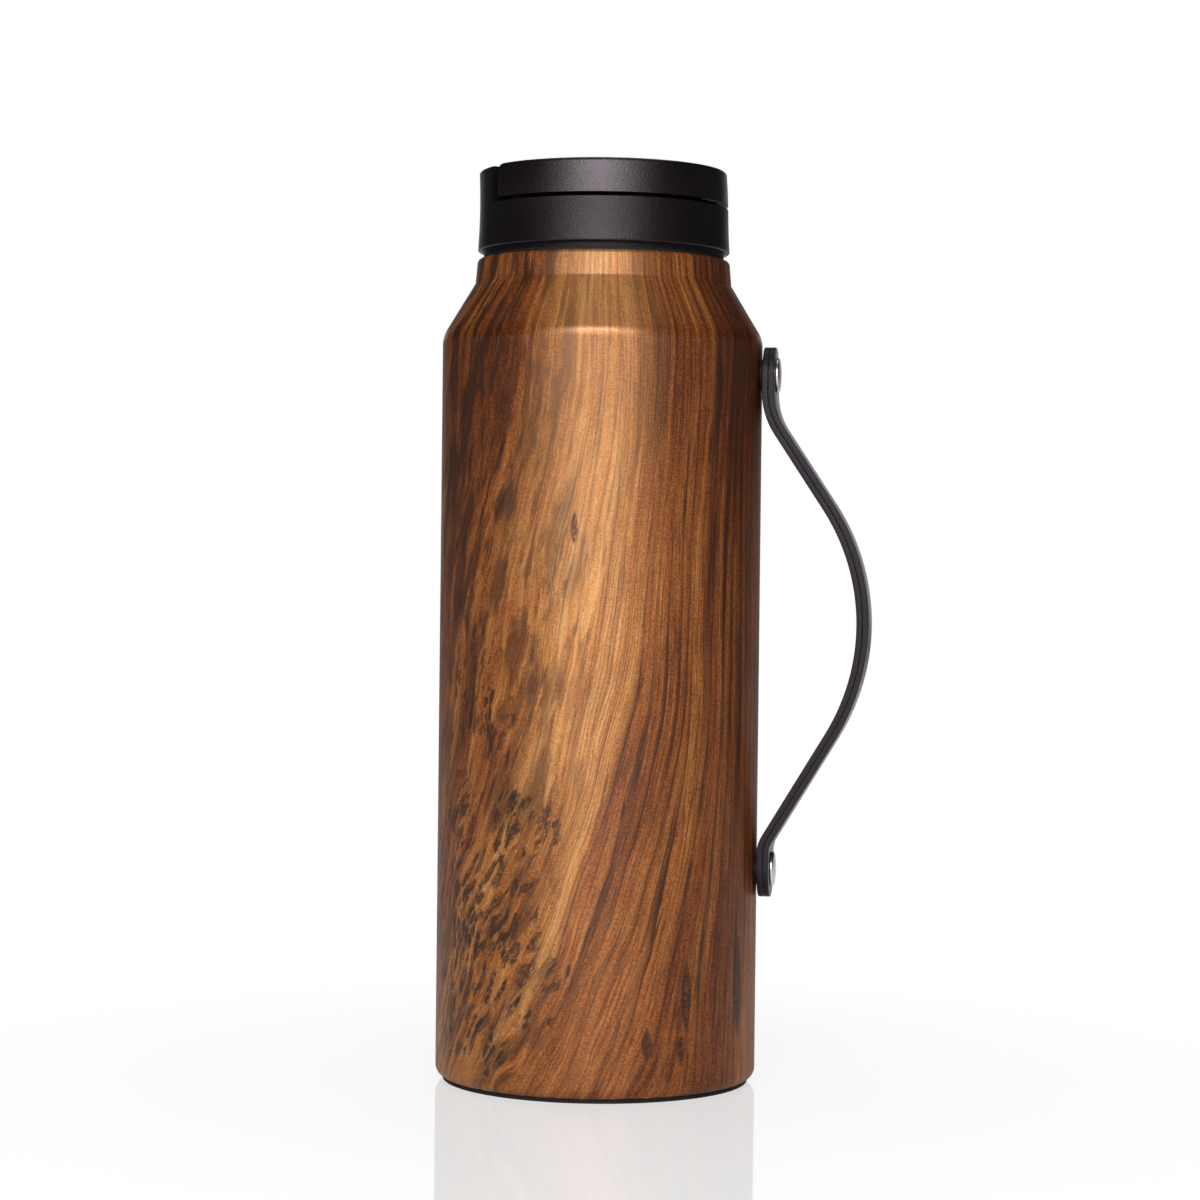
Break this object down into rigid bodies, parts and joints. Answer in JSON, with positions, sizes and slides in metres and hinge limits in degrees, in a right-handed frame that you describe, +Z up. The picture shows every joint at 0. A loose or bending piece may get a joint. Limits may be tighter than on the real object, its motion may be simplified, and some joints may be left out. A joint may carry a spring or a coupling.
{
  "type": "insulated water bottle",
  "caption": "Vacuum-insulated steel water bottle with a wood-grain printed body, a screw cap with a flip-up drinking lid, and a riveted leather strap handle on its side.",
  "frame": {"origin": "on the bottle's axis at the surface that it stands on, under the foot pad", "axes": "+Z up along the bottle's axis, +X towards the strap handle"},
  "size_m": [0.1238, 0.092, 0.2609],
  "materials": {
    "wood_print": "satin film with a printed wood grain",
    "steel_brushed": "plain drawn stainless steel",
    "steel_bright": "polished stainless steel",
    "copper": "bare copper foil",
    "braze": "braze bead",
    "getter_alloy": "sintered grey pellet",
    "rubber_black": "matt black rubber",
    "leather_black": "black leather with a grey-black cut edge",
    "silicone_clear": "translucent white silicone",
    "silicone_grey": "dark grey silicone",
    "cap_plastic": "fine satin black polypropylene",
    "foam": "pale rigid foam"
  },
  "bodies": {
    "bottle": {"outer_shell": "wood_print", "inner_vessel": "steel_brushed", "copper_shield": "copper", "outer_base": "steel_brushed", "base_disc": "steel_brushed", "vacuum_plug": "braze", "foot_pad": "rubber_black", "getter": "getter_alloy", "getter_clip": "steel_brushed", "weld_studs": "steel_bright", "strap_spacers": "rubber_black", "strap_inner_ply": "leather_black", "strap_outer_ply": "leather_black", "rivet_caps": "steel_bright"},
    "cap_riser": {"rim_gasket": "silicone_clear"},
    "cap": {"cap_base": "cap_plastic", "cap_plug": "cap_plastic", "cap_foam": "foam", "channel_seal": "silicone_clear", "hinge_pin": "steel_bright"},
    "flip": {"flip_lid": "cap_plastic", "flip_liner": "cap_plastic", "spout_stopper": "silicone_grey"}
  },
  "joints": [
    {"name": "cap_lift", "type": "slide", "parent": "bottle", "child": "cap_riser", "axis": [0, 0, 1], "range_m": [0, 0.02251]},
    {"name": "cap_turn", "type": "hinge", "parent": "cap_riser", "child": "cap", "pos_m": [0, 0, 0.2354], "axis": [0, 0, 1], "range_deg": [0, 900]},
    {"name": "flip_open", "type": "hinge", "parent": "cap", "child": "flip", "pos_m": [0.00147, -0.00172, 0.256], "axis": [-0.7604, -0.6494, 0], "range_deg": [0, 90]}
  ],
  "couplings": [
    {"joint": "cap_lift", "follows": "cap_turn", "m_per_rad": 0.0014324}
  ]
}
